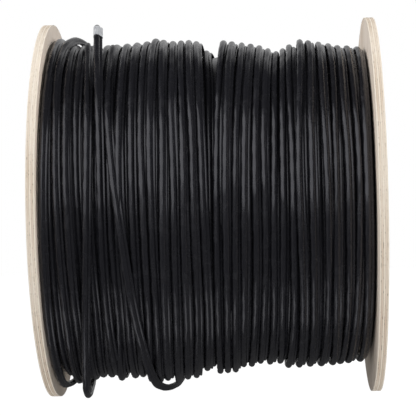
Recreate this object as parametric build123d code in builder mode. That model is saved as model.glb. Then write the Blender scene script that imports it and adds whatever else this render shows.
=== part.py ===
"""Wooden cable drum, wound full with black two-part outdoor cable.

Two plywood flanges are pulled onto a fibreboard barrel by four tie bolts inside it.
The drum lies on its rims. Its axis is X, +Z is up, and the origin is on
the floor under the middle of the drum. All sizes are in millimetres.
"""

import math
import os

from build123d import *

# The drum
flange_diameter = 400.0
flange_thickness = 9.0
overall_width = 350.0
arbor_diameter = 38.0
start_hole_diameter = 16.0
start_hole_gap = 4.0

# The barrel between the flanges
barrel_diameter = 222.0
barrel_wall = 8.0
seat_depth = 3.0
seat_clearance = 0.2

# The bolts that pull the flanges together
bolt_count = 4
bolt_diameter = 8.0
bolt_hole_clearance = 0.4
bolt_to_barrel_gap = 10.0
bolt_end = 0.5
head_thickness = 5.5
washer_side = 28.0
washer_thickness = 2.0
nut_across_flats = 13.0
nut_thickness = 5.0

# The wound cable. Its turns lie in pairs, with a groove between one pair and the next.
turn_count = 32
turns_in_a_pair = 2
turn_groove = 5.0
crest_share = 0.5
winding_end_gap = 0.3
winding_bore_clearance = 0.2
cable_diameter = 6.8
cable_sides = 6

# How high the outer turns lie above the barrel, at stations along the drum. The
# winding is full near the left flange, has a seat for the loose turns beside it and
# a dip just right of the middle.
lay_heights = [
    (-166.0, 75.0),
    (-137.0, 73.0),
    (-133.0, 71.0),
    (-130.0, 64.0),
    (-126.0, 62.0),
    (-92.0, 61.5),
    (-80.0, 70.0),
    (-50.0, 72.0),
    (-24.0, 71.0),
    (-8.0, 65.5),
    (2.0, 58.5),
    (12.0, 66.0),
    (24.0, 68.0),
    (48.0, 62.5),
    (66.0, 60.0),
    (80.0, 63.5),
    (98.0, 66.0),
    (130.0, 61.0),
    (166.0, 58.0),
]

# Loose turns, point by point: place along the drum, angle round it and distance
# from the axis. The angle is 0 at the front, 90 at the top and -90 underneath.
cable_end_points = [
    (-117.0, 77.5, 196.5),
    (-114.0, 63.0, 186.0),
    (-109.2, 41.0, 180.4),
    (-105.4, 13.0, 178.8),
    (-105.3, -17.0, 178.8),
    (-104.0, -47.0, 181.2),
    (-102.6, -77.0, 186.5),
    (-102.2, -104.0, 181.0),
]
crossing_turn_points = [
    (-101.0, 76.0, 176.4),
    (-100.4, 50.0, 180.4),
    (-96.8, 21.0, 182.6),
    (-86.0, -6.0, 187.8),
    (-77.5, -31.0, 189.4),
    (-70.0, -50.0, 189.0),
    (-57.0, -66.0, 194.0),
    (-42.0, -78.0, 194.0),
    (-31.0, -93.0, 189.0),
    (-27.0, -112.0, 186.4),
]
slack_turn_points = [
    (-127.0, 75.0, 179.8),
    (-121.0, 50.0, 181.4),
    (-118.2, 20.0, 181.2),
    (-120.0, -10.0, 182.0),
    (-124.0, -38.0, 189.5),
    (-129.2, -61.0, 207.0),
    (-133.0, -76.0, 200.5),
    (-135.5, -94.0, 191.5),
    (-136.5, -116.0, 188.6),
]
tape_length = 12.0
tape_from_tip = 2.5
tape_thickness = 0.35

# Sizes that follow from the ones above
flange_radius = flange_diameter / 2
axis_height = flange_radius
traverse = overall_width - 2 * flange_thickness
barrel_radius = barrel_diameter / 2
barrel_inner_radius = barrel_radius - barrel_wall
bolt_circle_radius = barrel_inner_radius - bolt_to_barrel_gap - bolt_diameter / 2
drum_axis = Axis((0, 0, axis_height), (1, 0, 0))

os.makedirs("parts", exist_ok=True)


def cross_plane(x):
    """A plane across the drum at x, centred on its axis: Y to its right, Z up."""
    return Plane(origin=(x, 0, axis_height), x_dir=(0, 1, 0), z_dir=(1, 0, 0))


def length_plane():
    """The upright plane through the axis: X to its right, distance from the axis up."""
    return Plane(origin=(0, 0, axis_height), x_dir=(1, 0, 0), z_dir=(0, -1, 0))


def finish(part, name):
    """Names a finished piece and writes it."""
    part.label = name
    export_step(part, f"parts/{name}.step")


# Flanges: sawn plywood discs, with a shallow round seat for the end of the barrel
for name, side in (("flange_left", -1), ("flange_right", 1)):
    inner_face = side * traverse / 2
    with BuildPart() as flange:
        with BuildSketch(cross_plane(inner_face)):
            Circle(flange_radius)
            Circle(arbor_diameter / 2, mode=Mode.SUBTRACT)
            with PolarLocations(bolt_circle_radius, bolt_count, start_angle=45):
                Circle(bolt_diameter / 2 + bolt_hole_clearance, mode=Mode.SUBTRACT)
            if side < 0:
                with Locations((0, barrel_radius + start_hole_gap + start_hole_diameter / 2)):
                    Circle(start_hole_diameter / 2, mode=Mode.SUBTRACT)
        extrude(amount=side * flange_thickness)
        with BuildSketch(cross_plane(inner_face)):
            Circle(barrel_radius + seat_clearance)
        extrude(amount=side * seat_depth, mode=Mode.SUBTRACT)
    finish(flange.part, name)

# Barrel: a fibreboard tube that ends in both seats
barrel_length = traverse + 2 * seat_depth
with BuildPart() as barrel:
    with BuildSketch(cross_plane(-barrel_length / 2)):
        Circle(barrel_radius)
        Circle(barrel_inner_radius, mode=Mode.SUBTRACT)
    extrude(amount=barrel_length)
finish(barrel.part, "barrel")

# Tie bolts inside the barrel, as tightened: head on the right, nut on the left, and
# a square plate washer under each of them
washer_face = overall_width / 2 + washer_thickness
bolt_spots = PolarLocations(bolt_circle_radius, bolt_count, start_angle=45).local_locations
for number, spot in enumerate(bolt_spots, start=1):
    with BuildPart() as tie_bolt:
        with BuildSketch(cross_plane(-washer_face - nut_thickness - bolt_end)):
            with Locations(spot):
                Circle(bolt_diameter / 2)
        extrude(amount=2 * washer_face + nut_thickness + bolt_end)
        for side, height in ((-1, nut_thickness), (1, head_thickness)):
            with BuildSketch(cross_plane(side * overall_width / 2)):
                with Locations(spot):
                    Rectangle(washer_side, washer_side)
            extrude(amount=side * washer_thickness)
            with BuildSketch(cross_plane(side * washer_face)):
                with Locations(spot):
                    RegularPolygon(nut_across_flats / 2, 6, major_radius=False)
            extrude(amount=side * height)
    finish(tie_bolt.part, f"tie_bolt_{number}")


# Winding: one turned solid on the barrel, with its turns shown round it
def lay_radius(x):
    """The outer turns' distance from the axis at x, read between the stations."""
    share = x / (traverse / 2) * lay_heights[-1][0]
    for (x0, h0), (x1, h1) in zip(lay_heights, lay_heights[1:]):
        if share <= x1:
            return barrel_radius + h0 + (h1 - h0) * (share - x0) / (x1 - x0)
    return barrel_radius + lay_heights[-1][1]


winding_length = traverse - 2 * winding_end_gap
pair_count = round(turn_count / turns_in_a_pair)
pair_width = winding_length / pair_count
winding_bore = barrel_radius + winding_bore_clearance
outline = []
for pair in range(pair_count):
    start = -winding_length / 2 + pair * pair_width
    crest = start + crest_share * pair_width
    outline.append((start, lay_radius(start) - turn_groove))
    outline.append((crest, lay_radius(crest)))
outline.append((winding_length / 2, lay_radius(winding_length / 2) - turn_groove))
with BuildPart() as winding:
    with BuildSketch(length_plane()):
        with BuildLine():
            Polyline(*outline)
            Polyline(
                outline[-1],
                (winding_length / 2, winding_bore),
                (-winding_length / 2, winding_bore),
                outline[0],
            )
        make_face()
    revolve(axis=drum_axis)
finish(winding.part, "cable_winding")


# Loose turns: a plain tube on straight runs joined by large arcs
def drum_point(x, angle, distance):
    """A point at x, at an angle round the drum and a distance from its axis."""
    turned = math.radians(angle)
    return Vector(x, -distance * math.cos(turned), axis_height + distance * math.sin(turned))


def route_of(points):
    """The corners of a loose turn, and the radius of the arc at each inner one."""
    corners = [drum_point(*point) for point in points]
    radii = []
    for before, corner, after in zip(corners, corners[1:], corners[2:]):
        turn = math.radians((corner - before).get_angle(after - corner))
        shorter = min((corner - before).length, (after - corner).length)
        radii.append(0.45 * shorter / math.tan(turn / 2))
    return corners, radii


loose_turns = {
    "cable_end": cable_end_points,
    "crossing_turn": crossing_turn_points,
    "slack_turn": slack_turn_points,
}
for name, points in loose_turns.items():
    corners, radii = route_of(points)
    print(name, "radii", [round(radius) for radius in radii])
    print(name, "runs", [round((b - a).length) for a, b in zip(corners, corners[1:])])
    with BuildPart() as loose_turn:
        with BuildLine() as route:
            FilletPolyline(*corners, radius=radii)
        path = route.wire()
        with BuildSketch(Plane(origin=path @ 0, z_dir=path % 0)) as section:
            RegularPolygon(cable_diameter / 2, cable_sides)
        sweep(path=path)
    share = loose_turn.part.volume / (section.sketch.area * path.length)
    print(name, "length", round(path.length, 1), "volume share", round(share, 4))
    finish(loose_turn.part, name)

# Tape round the free end
tip, second = (drum_point(*point) for point in cable_end_points[:2])
along = (second - tip).normalized()
with BuildPart() as end_tape:
    with BuildSketch(Plane(origin=tip + along * tape_from_tip, z_dir=along)):
        RegularPolygon(cable_diameter / 2 + tape_thickness, cable_sides)
        RegularPolygon(cable_diameter / 2, cable_sides, mode=Mode.SUBTRACT)
    extrude(amount=tape_length)
finish(end_tape.part, "end_tape")
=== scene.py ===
"""A wooden cable drum, wound full with black two-part cable, lying on a pale table."""

import math

import bmesh
import bpy
import numpy as np
from mathutils import Matrix, Vector, noise


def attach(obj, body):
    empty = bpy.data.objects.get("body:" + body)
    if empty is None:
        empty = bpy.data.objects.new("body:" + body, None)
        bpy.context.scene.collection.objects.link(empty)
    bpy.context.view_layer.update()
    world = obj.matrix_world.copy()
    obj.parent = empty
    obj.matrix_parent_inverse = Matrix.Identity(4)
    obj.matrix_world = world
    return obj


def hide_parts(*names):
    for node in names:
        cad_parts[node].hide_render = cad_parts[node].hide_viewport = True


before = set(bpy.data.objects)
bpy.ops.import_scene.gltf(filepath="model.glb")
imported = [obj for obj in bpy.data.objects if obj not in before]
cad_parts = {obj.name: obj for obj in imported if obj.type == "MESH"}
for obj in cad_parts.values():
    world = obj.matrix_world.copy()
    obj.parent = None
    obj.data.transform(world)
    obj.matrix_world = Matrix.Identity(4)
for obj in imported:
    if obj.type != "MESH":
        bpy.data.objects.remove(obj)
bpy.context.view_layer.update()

# Flanges
# Two round discs sawn from 9 mm birch plywood, sanded and left bare. The saw leaves
# the plies open round the rim, with dark specks where it tore the glue lines.
flange_radius = 0.2
axis_height = flange_radius
flange_thickness = 0.009
inner_face_x = 0.166
face_veneer = (0.86, 0.76, 0.66, 1)
face_veneer_dark = (0.72, 0.60, 0.49, 1)
long_ply = (0.88, 0.80, 0.69, 1)
long_ply_dark = (0.78, 0.68, 0.55, 1)
cross_ply = (0.63, 0.49, 0.37, 1)
glue_line = (0.36, 0.25, 0.16, 1)
rim_speck = (0.17, 0.10, 0.06, 1)
# The plies across the rim, as shares of its width from the inner face: cross plies
# from the first place to the second, and a glue line at each.
cross_plies = ((0.17, 0.38), (0.60, 0.82))
ply_blur = 0.03
# Where the face ends and the rim begins, as distances from the axis
rim_starts = flange_radius - 0.0015
rim_whole = flange_radius - 0.0008


class Value:
    """A number, vector or colour in a material. Sums on it add Math nodes."""

    def __init__(self, socket):
        self.socket = socket
        self.tree = socket.id_data

    def node(self, kind, settings, inputs, output=0):
        """Adds a node, sets it up, fills its sockets, and gives one of its outputs."""
        node = self.tree.nodes.new(kind)
        for name, setting in settings.items():
            if name == "stops":
                ramp = node.color_ramp.elements
                ramp[0].position, ramp[0].color = setting[0]
                ramp[1].position, ramp[1].color = setting[-1]
                for place, colour in setting[1:-1]:
                    ramp.new(place).color = colour
            else:
                setattr(node, name, setting)
        for name, value in inputs.items():
            if isinstance(value, Value):
                self.tree.links.new(value.socket, node.inputs[name])
            else:
                node.inputs[name].default_value = value
        return Value(node.outputs[output])

    def sum(self, operation, first, second=0.0):
        return self.node("ShaderNodeMath", {"operation": operation}, {0: first, 1: second})

    def __add__(self, other):
        return self.sum("ADD", self, other)

    def __sub__(self, other):
        return self.sum("SUBTRACT", self, other)

    def __rsub__(self, other):
        return self.sum("SUBTRACT", other, self)

    def __mul__(self, other):
        return self.sum("MULTIPLY", self, other)

    def __truediv__(self, other):
        return self.sum("DIVIDE", self, other)

    def __abs__(self):
        return self.sum("ABSOLUTE", self)

    __radd__ = __add__
    __rmul__ = __mul__

    def part(self, axis):
        """One coordinate of a vector: 0, 1 or 2."""
        return self.node("ShaderNodeSeparateXYZ", {}, {0: self}, axis)

    def placed(self, scale, shift=(0, 0, 0)):
        """The coordinates, scaled and shifted for a pattern."""
        inputs = {"Vector": self, "Location": shift, "Scale": scale}
        return self.node("ShaderNodeMapping", {}, inputs)

    def noise(self, scale, detail=2.0, roughness=0.5, stretch=None):
        """Soft random values between 0 and 1."""
        place = self.placed(stretch) if stretch else self
        inputs = {"Vector": place, "Scale": scale, "Detail": detail, "Roughness": roughness}
        return self.node("ShaderNodeTexNoise", {}, inputs)

    def between(self, low, high):
        """0 up to low, 1 from high on, and smooth from one to the other."""
        inputs = {"Value": self, "From Min": low, "From Max": high}
        return self.node("ShaderNodeMapRange", {"interpolation_type": "SMOOTHSTEP"}, inputs)

    def mixed(self, first, second):
        """A colour between two colours, with this value as the share of the second."""
        inputs = {0: self, 6: first, 7: second}
        return self.node("ShaderNodeMix", {"data_type": "RGBA"}, inputs, 2)


def new_material(name, metallic=0.0, specular=0.5):
    """A plain glossy surface, its shader, and the object coordinates on it."""
    material = bpy.data.materials.new(name)
    material.use_nodes = True
    shader = material.node_tree.nodes["Principled BSDF"]
    shader.inputs["Metallic"].default_value = metallic
    shader.inputs["Specular IOR Level"].default_value = specular
    where = material.node_tree.nodes.new("ShaderNodeTexCoord")
    return material, shader, Value(where.outputs["Object"])


def feed(shader, **inputs):
    """Links values to a shader's sockets, or to a bump node for a height in metres."""
    for name, value in inputs.items():
        if name == "Height":
            bump = value.node("ShaderNodeBump", {}, {"Height": value, "Distance": 1.0})
            name, value = "Normal", bump
        value.tree.links.new(value.socket, shader.inputs[name.replace("_", " ")])


plywood, shader, place = new_material("sawn_plywood", specular=0.3)
wavering = place.noise(1.0, 3.0, 0.6, stretch=(60, 34, 34)) - 0.5
depth = (abs(place.part(0)) - inner_face_x) / flange_thickness
depth = depth + wavering * 0.12
cross, glue = 0.0, 0.0
for start, stop in cross_plies:
    begun = depth.between(start - ply_blur, start + ply_blur)
    ended = depth.between(stop - ply_blur, stop + ply_blur)
    cross = begun - ended + cross
    for line in (start, stop):
        glue = (1 - abs(depth - line).between(0.01, 0.05)) + glue
grain = place.noise(1.0, 5.0, 0.6, stretch=(60, 420, 9))
figure = place.noise(1.0, 3.0, 0.5, stretch=(20, 26, 3.5))
radius = place.node(
    "ShaderNodeVectorMath",
    {"operation": "LENGTH"},
    {0: place.placed((0, 1, 1), shift=(0, 0, -axis_height))},
    1,
)
rim = radius.between(rim_starts, rim_whole)
veneer = (grain * 0.5 + figure * 0.5).between(0.36, 0.68)
veneer = veneer.mixed(face_veneer, face_veneer_dark)
shown = place.noise(1.0, 2.0, 0.5, stretch=(40, 7, 7)).between(0.38, 0.68)
end_grain = place.noise(900.0, 2.0)
streaks = place.noise(1.0, 3.0, 0.6, stretch=(900, 60, 60))
specks = place.noise(1.0, 2.0, 0.7, stretch=(600, 200, 200)).between(0.57, 0.64)
edge = (streaks.between(0.4, 0.7) * 0.6).mixed(long_ply, long_ply_dark)
edge = (cross * (shown * 0.62 + 0.12)).mixed(edge, cross_ply)
edge = (end_grain.between(0.4, 0.8) * 0.25).mixed(edge, cross_ply)
edge = (glue * (shown * 0.5 + 0.1)).mixed(edge, glue_line)
edge = (specks * glue * (shown * 0.6 + 0.4)).mixed(edge, rim_speck)
feed(
    shader,
    Base_Color=rim.mixed(veneer, edge),
    Roughness=0.62 + grain * 0.2,
    Height=grain * 0.00012 - glue * rim * 0.0001 + end_grain * rim * 0.00008,
)
for name in ("flange_left", "flange_right"):
    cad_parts[name].material_slots[0].material = plywood

# Barrel
# A tube of brown fibreboard that stands in a seat in each flange. The whole winding
# covers it, and only its inside shows, through the spindle holes.
board_pale = (0.36, 0.25, 0.16, 1)
board_dark = (0.22, 0.145, 0.09, 1)
fibreboard, shader, place = new_material("bare_fibreboard", specular=0.3)
fibres = place.noise(1.0, 4.0, 0.65, stretch=(90, 240, 240))
feed(
    shader,
    Base_Color=fibres.between(0.3, 0.7).mixed(board_dark, board_pale),
    Roughness=0.75 + fibres * 0.2,
    Height=fibres * 0.0002,
)
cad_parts["barrel"].material_slots[0].material = fibreboard

# Tie bolts
# Four steel bolts through both flanges, with square plate washers, all zinc plated
# and a little dulled by handling.
zinc_pale = (0.60, 0.61, 0.62, 1)
zinc_dull = (0.42, 0.43, 0.45, 1)
zinc, shader, place = new_material("zinc_plated_steel", metallic=1.0)
dulling = place.noise(160.0, 4.0, 0.6)
feed(
    shader,
    Base_Color=dulling.between(0.35, 0.7).mixed(zinc_pale, zinc_dull),
    Roughness=0.4 + dulling * 0.25,
    Height=place.noise(900.0, 2.0) * 0.00002,
)
for number in range(1, 5):
    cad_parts[f"tie_bolt_{number}"].material_slots[0].material = zinc

# Wound cable
# Two-part outdoor cable: a round black jacket, through which its twisted pairs show a
# little as lumps, and a thin bearer beside it on a web. It is wound tight by machine,
# one turn beside the other.
jacket_radius = 0.00335
bearer_radius = 0.00125
bearer_offset = 0.0049
web_half = 0.0008
jacket_points = 19
bearer_points = 6
# The pairs' lumps, and an odd wave beside them as shares of their rate and height.
# All of it is lowered by a share too, to keep its crests near the jacket's radius.
pair_count = 4
lump_length = 0.0205
lump_height = 0.00017
odd_wave_rate = 0.537
odd_wave_height = 0.7
lumps_lowered = 0.6
# The outer turns are swept in pieces. The layer under them lies this many mm lower,
# and the body for the turns further in this many metres.
rings_in_a_turn = 288
turns_in_a_piece = 11
under_rings = 120
under_sunk = 7.0
winding_end_gap = 0.0003
winding_end_x = inner_face_x - winding_end_gap
winding_bore_radius = 0.1112
inner_sunk = 0.0145
inner_stations = 40
inner_steps = 96

# Where each outer turn lies along the drum, in mm: at the top, 20 degrees above the
# middle of the front, 40 degrees below it, and underneath.
turn_places = [
    (-159, -161, -162.4, -161.8), (-151, -150, -144, -146), (-143, -140, -134.5, -137),
    (-133, -130, -125, -129), (-122, -120, -115.5, -121), (-108, -109, -106.5, -111),
    (-99, -98, -93, -101), (-87.5, -86, -82.5, -86), (-77, -74.5, -72, -78),
    (-66, -65, -61.5, -69), (-57, -56, -53.5, -60), (-48.5, -43, -45.5, -51),
    (-38.5, -32, -34, -40), (-30, -23, -24, -30), (-22, -14.5, -13, -21),
    (-14, -6, -2.5, -9), (16, 9.5, 7.5, 5), (25, 18.5, 15.5, 13),
    (35, 28.5, 24.5, 21), (45, 37, 34, 30.5), (54.5, 47.5, 44, 38.5),
    (63, 55.5, 53.5, 47.5), (72, 65, 64, 58), (79, 75, 74, 69),
    (86, 84.5, 84, 77.5), (97, 92, 92.5, 89), (105.5, 103, 103.5, 101),
    (117, 116, 117.5, 113), (127, 127, 127.5, 125), (136.5, 139, 138, 133),
    (147, 148, 147.5, 142), (158, 157, 157, 154.5),
]
# How far the outer turns' crests stand from the axis along the drum, in mm, above
# and under it.
crests_above = [
    (-166, 186), (-156, 185), (-149, 179), (-128, 177.5), (-116, 178), (-100, 178),
    (-80, 179), (-66, 180.5), (-55, 183), (-45, 181.5), (-38, 179.5), (-22, 181.5),
    (-14, 180), (-8, 176), (-2, 174.5), (4, 171), (10, 171), (15, 179.5),
    (27, 178), (36, 176), (47, 175), (57, 172.5), (63, 170), (72, 166), (78, 168.5),
    (85, 173.5), (98, 180), (105, 178.5), (117, 176), (123, 174), (135, 172),
    (166, 169.5),
]
crests_under = [
    (-166, 191), (-158, 191), (-150, 188), (-128, 184), (-115, 179.5), (-101, 185),
    (-84, 182.5), (-78, 181), (-69, 186), (-60, 187.5), (-51, 186), (-45, 188),
    (-37, 187.5), (-30, 184), (-22, 185), (-17, 182),
    (-10, 175.5), (5, 179), (20, 179), (30, 172), (37, 173), (45, 170), (60, 170),
    (69, 170), (78, 173.5), (90, 174), (103, 173), (125, 172), (140, 170), (166, 168),
]
# The loose turns ride in a seat on the front of the winding: where it starts and is
# whole on each side, in mm, how far round from the front it is whole and ends, in
# degrees, and how far its crests stand from the axis.
seat_places = (-133, -128, -93, -87)
seat_half_angles = (50, 75)
seat_crest = 172.5
# How a turn wanders: it swings along the drum by up to this many mm, at the ends of
# its front and over the back, and rises by up to this many, slowly and quickly. The
# bearer tips down beside the jacket by an angle that goes with the room in mm
# between one turn and the next, and wanders too.
front_swing = 0.8
back_swing = 2.4
slow_rise = 1.8
quick_rise = 1.1
tilt_wander = 38
tilt_rooms = (7.5, 8.5, 9.5, 11)
tilts = (-42, -30, -18, -5)
room_at_the_end = 10.0
# A turn's corners are rounded off over a turn's rings divided by these, in its place
# along the drum and in its crest
place_rounding = 9
crest_rounding = 12
# Where single turns leave the rest, as turn, angle, half width in degrees, shift
# along the drum and rise in mm. One rides over its neighbours at the upper left, the
# first swings away from the flange underneath, and others leave gaps or lie higher.
# The layer under them has its own list.
stray_turns = [
    (0, -108, 32, 11, 0), (1, 50, 26, -2, 0), (1, 112, 46, 20, 0), (1, 88, 28, 0, 8),
    (9, -10, 40, 1.2, 1), (12, 30, 30, -1.5, 1.5), (20, -20, 45, 1.5, 1),
    (24, 50, 40, -1.5, -1.5), (27, 0, 50, 1.5, 1.5), (29, 40, 35, -1.5, 1),
    (22, 20, 35, 1.2, -1), (17, -30, 50, 1, -1.5), (31, 20, 60, 0, 1.5),
    (18, 60, 40, 1.4, 0.5), (19, -60, 45, -1.4, 1), (21, -10, 40, 1.8, -1),
    (23, -40, 40, -1.8, 1), (25, 10, 45, -1.8, 1.2), (26, 60, 35, 1.4, -1.5),
    (28, -30, 45, -1.8, 1.5), (28, 50, 35, 1.4, 0), (30, 10, 50, 1.8, -1),
    (30, -60, 40, -1.4, 1), (5, -20, 40, 1.2, 1), (7, 10, 45, -1.2, 1.2),
]
stray_under_turns = [(0, -84, 34, 0, -5), (15, 84, 40, -4, 1.5), (15, 5, 70, 0, -3)]


def cable_section():
    """The two-part outline, point by point: across the drum, and outwards."""
    points = []
    open_half = math.asin(web_half / jacket_radius)
    for step in range(jacket_points):
        turned = open_half + (math.tau - 2 * open_half) * step / (jacket_points - 1)
        points.append((math.cos(turned), math.sin(turned), turned, 1.0))
    open_half = math.pi - math.asin(web_half / bearer_radius)
    for step in range(bearer_points):
        turned = open_half * (2 * step / (bearer_points - 1) - 1)
        points.append((math.cos(turned), math.sin(turned), turned, 0.0))
    return np.array(points)


def ring_frames(line, roll):
    """How far each point is along a line, and the two directions of its cross-section."""
    along = np.gradient(line, axis=0)
    along /= np.linalg.norm(along, axis=1)[:, None]
    steps = np.linalg.norm(np.diff(line, axis=0), axis=1)
    outward = line * (0, 1, 1) - (0, 0, axis_height)
    outward -= along * np.sum(outward * along, axis=1)[:, None]
    outward /= np.linalg.norm(outward, axis=1)[:, None]
    across = np.cross(along, outward)
    across *= np.sign(across[:, :1])
    c, s = np.cos(roll)[:, None], np.sin(roll)[:, None]
    run = np.concatenate([[0.0], np.cumsum(steps)])
    return run, across * c + outward * s, outward * c - across * s


def skinned(spots, run):
    """A bmesh tube over rings of points, with its length and its turn as its UV map."""
    rings, around = spots.shape[:2]
    bm = bmesh.new()
    bmesh.ops.create_grid(bm, x_segments=rings - 1, y_segments=around, size=0.5)
    uv = bm.loops.layers.uv.new("along_and_round")
    where = {}
    for vert in bm.verts:
        ring = round((vert.co.x + 0.5) * (rings - 1))
        step = round((vert.co.y + 0.5) * around)
        where[vert] = (run[ring], step / around)
        vert.co = spots[ring, step % around]
    for face in bm.faces:
        face.smooth = True
        for loop in face.loops:
            loop[uv].uv = where[loop.vert]
    bmesh.ops.remove_doubles(bm, verts=bm.verts, dist=1e-7)
    return bm


def placed_piece(name, bm):
    """Makes an object of a bmesh, at the origin."""
    mesh = bpy.data.meshes.new(name)
    bm.to_mesh(mesh)
    bm.free()
    piece = bpy.data.objects.new(name, mesh)
    bpy.context.collection.objects.link(piece)
    return piece


def swept_cable(name, line, roll, seed):
    """Sweeps the section along a line on the drum, rolled about the jacket's middle."""
    run, turned_across, turned_outward = ring_frames(line, roll)
    side, up, turned, is_jacket = cable_section().T[:, None, :]
    phase = math.tau * run[:, None] / lump_length + seed
    lumps = np.sin(phase + pair_count * turned)
    lumps += odd_wave_height * np.sin(odd_wave_rate * phase - turned)
    # They fade out beside the web
    lumps = (lumps - lumps_lowered) * (1 - np.cos(turned)) / 2
    radii = is_jacket * (jacket_radius + lump_height * lumps)
    radii += (1 - is_jacket) * bearer_radius
    sideways = side * radii + (1 - is_jacket) * bearer_offset
    spots = line[:, None, :] + sideways[..., None] * turned_across[:, None, :]
    spots += (up * radii)[..., None] * turned_outward[:, None, :]
    bm = skinned(spots, run)
    bmesh.ops.holes_fill(bm, edges=[e for e in bm.edges if e.is_boundary], sides=0)
    bmesh.ops.recalc_face_normals(bm, faces=bm.faces)
    return placed_piece(name, bm)


def smoothed(values, window):
    """A run of values with its corners rounded off."""
    kernel = np.hanning(window + 2)[1:-1]
    padded = np.pad(values, window // 2, mode="edge")
    return np.convolve(padded, kernel / kernel.sum(), mode="valid")[: len(values)]


def crest_at(x, angle):
    """The crests' distance from the axis, in mm, at a place and an angle in degrees."""
    above = np.interp(x, *zip(*crests_above))
    under = np.interp(x, *zip(*crests_under))
    crest = (above + under) / 2 + (above - under) / 2 * np.sin(np.radians(angle))
    from_front = np.abs((angle + 180) % 360 - 180)
    seat = np.interp(x, seat_places, (0, 1, 1, 0))
    seat = seat * np.interp(from_front, seat_half_angles, (1, 0))
    return crest + seat * (seat_crest - crest)


def drift(values, seed):
    """Smooth random values between about -1 and 1 along a run of numbers."""
    return np.array([noise.noise(Vector((value, seed, 0))) for value in values])


def wound_line(places, strays, rings, sunk, seed):
    """The line of the cable as it is wound, turn by turn, from the left to the right."""
    whole, spots = [], []
    for number, (top, upper, lower, below) in enumerate(places):
        over_back = places[min(number + 1, len(places) - 1)][3] - top
        swings = [noise.noise(Vector((number * 1.7, k * 3.1, seed))) for k in (2, 3, 4, 0)]
        for angle, spot in (
            (-88, below + front_swing * swings[0]),
            (-40, lower),
            (20, upper),
            (84, top + front_swing * swings[0]),
            (135, top + 0.27 * over_back + back_swing * swings[1]),
            (180, top + 0.51 * over_back + back_swing * swings[2]),
            (228, top + 0.77 * over_back + back_swing * swings[3]),
        ):
            whole.append(360 * number + 180 + angle)
            spots.append(spot)
    turned = np.linspace(0, 360 * len(places), rings * len(places) + 1)
    angle = turned - 180
    x = smoothed(np.interp(turned, whole, spots), rings // place_rounding)
    rise = slow_rise * drift(turned / 80, seed + 9) + quick_rise * drift(turned / 26, seed + 15)
    for number, middle, half, shift, lift in strays:
        share = np.clip((turned - 360 * number - 180 - middle) / half, -1, 1)
        share = np.cos(share * math.pi / 2) ** 2
        x += shift * share
        rise += lift * share
    crest = smoothed(crest_at(x, angle), rings // crest_rounding) + rise - sunk
    reach = crest / 1000 - jacket_radius
    angle = np.radians(angle)
    line = np.stack(
        [x / 1000, -reach * np.cos(angle), axis_height + reach * np.sin(angle)], axis=1
    )
    room = np.concatenate([x[rings:] - x[:-rings], np.full(rings, room_at_the_end)])
    tilt = np.interp(smoothed(room, rings // place_rounding), tilt_rooms, tilts)
    return line, np.radians(tilt + tilt_wander * drift(turned / 90, seed + 21))


jacket_black = (0.010, 0.010, 0.0125, 1)
jacket_scuffed = (0.018, 0.018, 0.021, 1)
jacket_sheen = (0.93, 0.93, 1.0, 1)
jacket, shader, place = new_material("black_polyethylene", specular=0.57)
shader.inputs["Specular Tint"].default_value = jacket_sheen
surface = place.tree.nodes.new("ShaderNodeUVMap")
surface.uv_map = "along_and_round"
surface = Value(surface.outputs[0])
drawn = surface.noise(1.0, 3.0, 0.6, stretch=(25, 9, 1))
sway = surface.noise(1.0, 1.0, 0.5, stretch=(11, 0.4, 1))
scuff = place.noise(70.0, 4.0, 0.7).between(0.5, 0.75)
feed(
    shader,
    Base_Color=(scuff * 0.6).mixed(jacket_black, jacket_scuffed),
    Roughness=0.2 + drawn * 0.12 + scuff * 0.1,
    Height=drawn * 0.00005 + sway * 0.009 + place.noise(1400.0, 2.0) * 0.000005,
)

outer_line, outer_roll = wound_line(turn_places, stray_turns, rings_in_a_turn, 0.0, 1.0)
piece_rings = turns_in_a_piece * rings_in_a_turn
for number, start in enumerate(range(0, len(outer_line) - 1, piece_rings), start=1):
    cut = slice(start, start + piece_rings + 1)
    turns = swept_cable(f"outer_turns_{number}", outer_line[cut], outer_roll[cut], number)
    turns.data.materials.append(jacket)
    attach(turns, "root")
    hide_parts("cable_winding")

under_places = [np.add(*pair) / 2 for pair in zip(turn_places, turn_places[1:])]
under_line, under_roll = wound_line(
    under_places, stray_under_turns, under_rings, under_sunk, 5.0
)
under_turns = swept_cable("under_turns", under_line, under_roll, 7.0)
under_turns.data.materials.append(jacket)
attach(under_turns, "root")
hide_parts("cable_winding")

# The turns further in, which the outer ones hide, as one body on the barrel
bm = bmesh.new()
stations = np.linspace(-winding_end_x, winding_end_x, inner_stations)
outline = [bm.verts.new((-winding_end_x, 0, winding_bore_radius))]
for x in stations:
    crest = (crest_at(x * 1000, 90) + crest_at(x * 1000, -90)) / 2000
    outline.append(bm.verts.new((x, 0, crest - inner_sunk)))
outline.append(bm.verts.new((winding_end_x, 0, winding_bore_radius)))
edges = [bm.edges.new(pair) for pair in zip(outline, outline[1:] + outline[:1])]
bmesh.ops.spin(
    bm,
    geom=outline + edges,
    axis=(1, 0, 0),
    cent=(0, 0, 0),
    angle=math.tau,
    steps=inner_steps,
    use_merge=True,
)
bmesh.ops.remove_doubles(bm, verts=bm.verts, dist=1e-6)
bmesh.ops.translate(bm, verts=bm.verts, vec=(0, 0, axis_height))
bmesh.ops.recalc_face_normals(bm, faces=bm.faces)
for face in bm.faces:
    face.smooth = True
inner_turns = placed_piece("inner_turns", bm)
inner_turns.data.materials.append(jacket)
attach(inner_turns, "root")
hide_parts("cable_winding")

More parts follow.
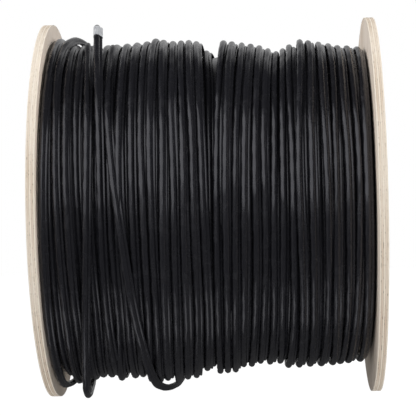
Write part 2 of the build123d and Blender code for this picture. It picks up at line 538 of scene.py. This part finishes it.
# Loose turns
# Three stretches of the same cable lie loose on the winding: its outer end, a turn
# that crosses the others, and a slack one. Each point of a route is a place along
# the drum in metres, an angle round it in degrees, and a distance from its axis.
points_in_a_span = 26
roll_window = 31
cable_end_route = [
    (-0.1172, 77.5, 0.1975),
    (-0.1140, 63.0, 0.1870),
    (-0.1092, 41.0, 0.1804),
    (-0.1054, 13.0, 0.1788),
    (-0.1053, -17.0, 0.1788),
    (-0.1040, -47.0, 0.1812),
    (-0.1026, -77.0, 0.1865),
    (-0.1022, -104.0, 0.1810),
]
crossing_turn_route = [
    (-0.1010, 76.0, 0.1764),
    (-0.1004, 50.0, 0.1804),
    (-0.0968, 21.0, 0.1826),
    (-0.0860, -6.0, 0.1878),
    (-0.0775, -31.0, 0.1894),
    (-0.0700, -50.0, 0.1900),
    (-0.0650, -66.0, 0.1920),
    (-0.0595, -77.0, 0.1935),
    (-0.0485, -88.0, 0.1935),
    (-0.0375, -100.0, 0.1920),
    (-0.0290, -116.0, 0.1863),
]
slack_turn_route = [
    (-0.1270, 75.0, 0.1798),
    (-0.1210, 50.0, 0.1814),
    (-0.1182, 20.0, 0.1812),
    (-0.1200, -10.0, 0.1820),
    (-0.1255, -38.0, 0.1905),
    (-0.1305, -59.0, 0.2085),
    (-0.1330, -73.0, 0.2052),
    (-0.1355, -92.0, 0.1945),
    (-0.1365, -116.0, 0.1886),
]


def routed_line(name, route):
    """The smooth line through a route: its length, and its points."""
    curve = bpy.data.curves.new(name, "CURVE")
    curve.dimensions = "3D"
    curve.resolution_u = points_in_a_span
    spline = curve.splines.new("NURBS")
    spline.points.add(len(route) - 1)
    for point, (x, angle, reach) in zip(spline.points, route):
        turned = math.radians(angle)
        height = axis_height + reach * math.sin(turned)
        point.co = (x, -reach * math.cos(turned), height, 1)
    spline.order_u = 3
    spline.use_endpoint_u = True
    carrier = bpy.data.objects.new(name, curve)
    mesh = bpy.data.meshes.new_from_object(carrier)
    points = np.array([vert.co[:] for vert in mesh.vertices])
    bpy.data.objects.remove(carrier)
    bpy.data.meshes.remove(mesh)
    bpy.data.curves.remove(curve)
    return float(np.linalg.norm(np.diff(points, axis=0), axis=1).sum()), points


# Each loose turn's route, its far end, and the bearer's tilt along it in degrees
loose_routes = {
    "cable_end": (cable_end_route, "bare", (-18, -10, -8, -8, -10)),
    "crossing_turn": (crossing_turn_route, "object", (-20, -8, -6, -25, -55)),
    "slack_turn": (slack_turn_route, "object", (-20, -15, -8, -55, -75)),
}
loose_turns = {}
for number, (name, (route, far_end, rolls)) in enumerate(loose_routes.items(), start=1):
    length, line = routed_line(name, route)
    share = np.linspace(0, len(rolls) - 1, len(line))
    roll = np.interp(share, range(len(rolls)), rolls)
    roll = np.radians(smoothed(roll, roll_window))
    turn = swept_cable(f"{name}_cable", line, roll, number)
    turn.data.materials.append(jacket)
    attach(turn, "root")
    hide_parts(name)
    loose_turns[name] = (turn, far_end, length, line, roll)

# Tape
# A strip of pale grey tape, wound twice round the cable's outer end, so that it can
# be found and doesn't fray.
tape_pale = (0.55, 0.56, 0.58, 1)
tape_dark = (0.35, 0.36, 0.38, 1)
tape_from_tip = 0.0025
tape_length = 0.0195
tape, shader, place = new_material("pale_tape", specular=0.5)
creases = place.noise(1.0, 3.0, 0.6, stretch=(300, 300, 120))
feed(
    shader,
    Base_Color=creases.between(0.35, 0.75).mixed(tape_pale, tape_dark),
    Roughness=0.35 + creases * 0.2,
    Height=creases * 0.0002,
)
tape_gap = 0.0003
tape_thickness = 0.00025
tape_rings = 14
crease_depth = 0.05
creases_a_metre = 380
# The tape's hull: the middle and radius of each round part, its arc, and its points
tape_arcs = ((0.0, jacket_radius, 70, 290, 15), (bearer_offset, bearer_radius, -70, 70, 7))
*_, line, roll = loose_turns["cable_end"]
run, across, outward = ring_frames(line, roll)
stations = np.linspace(tape_from_tip, tape_from_tip + tape_length, tape_rings)
line, across, outward = (
    np.array([np.interp(stations, run, values[:, k]) for k in range(3)]).T
    for values in (line, across, outward)
)
spots = []
for middle, radius, start, stop, steps in tape_arcs:
    for turned in np.radians(np.linspace(start, stop, steps)):
        reach = radius + tape_gap
        sideways, upright = middle + reach * math.cos(turned), reach * math.sin(turned)
        spots.append(line + sideways * across + upright * outward)
spots = np.array(spots).transpose(1, 0, 2)
middle = spots.mean(axis=1)
for ring, step in np.ndindex(spots.shape[:2]):
    crease = noise.noise(Vector(spots[ring, step]) * creases_a_metre)
    spots[ring, step] += (spots[ring, step] - middle[ring]) * crease_depth * crease
bm = skinned(spots, stations)
bmesh.ops.recalc_face_normals(bm, faces=bm.faces)
bmesh.ops.solidify(bm, geom=bm.faces, thickness=tape_thickness)
end_tape = placed_piece("end_tape_wrap", bm)
end_tape.data.materials.append(tape)
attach(end_tape, "root")
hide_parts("end_tape")

for turn, far_end, length, line, _ in loose_turns.values():
    [end_tape] if far_end == "bare" else []

# Table, light and camera
# A white table in a white room, as for a catalogue. The jackets mirror the panels in
# front and below and the pale world behind. The fills light the wood, and nothing
# mirrors them. The camera's place was fitted to the outlines of the two flanges.
table_middle = (0, 1.4, 0)
table_half_size = (2.4, 2.0, 1, 1)
table_grey = (0.06, 0.06, 0.06, 1)
plain_white = (1, 1, 1, 1)
camera_spot = (0.054564, -1.821791, 0.199548)
camera_yaw = 1.8738
camera_roll = 1.1905
camera_lens = 145.97
# How brightly the world shines, by where from
world_behind = 0.68
world_left = 0.2
world_right = 0.08
world_below = 0.04
world_all_round = 0.03

# The table glows evenly, throws nothing on the drum, and lets the lamps below it
# shine through.
bm = bmesh.new()
bmesh.ops.create_grid(bm, x_segments=1, y_segments=1, size=1.0)
laid = Matrix.Translation(table_middle) @ Matrix.Diagonal(table_half_size)
bmesh.ops.transform(bm, matrix=laid, verts=bm.verts)
mesh = bpy.data.meshes.new("table")
bm.to_mesh(mesh)
bm.free()
table = bpy.data.objects.new("table", mesh)
bpy.context.collection.objects.link(table)
pale, shader, place = new_material("pale_table", specular=0.1)
shader.inputs["Base Color"].default_value = table_grey
shader.inputs["Roughness"].default_value = 0.9
shader.inputs["Emission Color"].default_value = plain_white
shader.inputs["Emission Strength"].default_value = 1.0
table.data.materials.append(pale)
table.visible_diffuse = False
table.visible_glossy = False
table.visible_shadow = False


def soft_light(name, spot, target, width, height, watts, mirrored=True):
    """A rectangular soft box that points at a target, mirrored in glossy things or not."""
    lamp = bpy.data.lights.new(name, "AREA")
    lamp.shape = "RECTANGLE"
    lamp.size, lamp.size_y, lamp.energy = width, height, watts
    box = bpy.data.objects.new(name, lamp)
    aim = (Vector(spot) - Vector(target)).to_track_quat("Z", "Y").to_matrix().to_4x4()
    box.matrix_world = Matrix.Translation(spot) @ aim
    box.visible_camera = False
    box.visible_glossy = mirrored
    bpy.context.collection.objects.link(box)


soft_light("front_panel", (-1.1, -1.65, 1.6), (-0.1, 0, 0.2), 5.4, 2.55, 72)
soft_light("low_panel", (-0.9, -2.4, 0.3), (0, 0, 0.2), 5.0, 1.4, 3.0)
soft_light("under_panel", (-0.35, -0.4, -1.3), (0, 0, 0.1), 1.0, 0.9, 3.0)
soft_light("under_fill", (0.4, -1.0, -1.2), (0, 0, 0.1), 1.2, 1.2, 14, mirrored=False)
soft_light("left_fill", (-1.4, -0.3, 0.95), (0.16, 0, 0.33), 1.0, 1.0, 9.5, mirrored=False)
soft_light("right_fill", (1.4, -0.3, 0.95), (-0.16, 0, 0.33), 1.0, 1.0, 18, mirrored=False)

world = bpy.data.worlds.new("studio")
bpy.context.scene.world = world
world.use_nodes = True
tree = world.node_tree
tree.nodes.clear()
where = tree.nodes.new("ShaderNodeTexCoord")
direction = Value(where.outputs["Generated"])
behind = direction.part(1).between(0.5, 0.95)
shade = tree.nodes.new("ShaderNodeBackground")
above = direction.part(2).between(-0.15, 0.15)
left = (0 - direction.part(0)).between(0.5, 0.95)
right = direction.part(0).between(0.5, 0.95)
aside = left * world_left + right * world_right
strength = behind * above * world_behind + aside + (1 - above) * world_below
strength = strength + world_all_round
tree.links.new(strength.socket, shade.inputs["Strength"])
white = tree.nodes.new("ShaderNodeBackground")
rays = tree.nodes.new("ShaderNodeLightPath")
mix = tree.nodes.new("ShaderNodeMixShader")
out = tree.nodes.new("ShaderNodeOutputWorld")
tree.links.new(rays.outputs["Is Camera Ray"], mix.inputs[0])
tree.links.new(shade.outputs[0], mix.inputs[1])
tree.links.new(white.outputs[0], mix.inputs[2])
tree.links.new(mix.outputs[0], out.inputs[0])
shade.inputs["Color"].default_value = plain_white
white.inputs["Color"].default_value = plain_white

camera_data = bpy.data.cameras.new("camera")
camera_data.sensor_width = 36
camera_data.lens = camera_lens
camera = bpy.data.objects.new("camera", camera_data)
yaw = Matrix.Rotation(math.radians(camera_yaw), 4, "Z")
roll = Matrix.Rotation(math.radians(camera_roll), 4, "Y")
upright = Matrix.Rotation(math.radians(90), 4, "X")
camera.matrix_world = Matrix.Translation(camera_spot) @ yaw @ roll @ upright
bpy.context.collection.objects.link(camera)
bpy.context.scene.camera = camera
bpy.context.scene.view_settings.view_transform = "Standard"
bpy.context.scene.view_settings.look = "None"
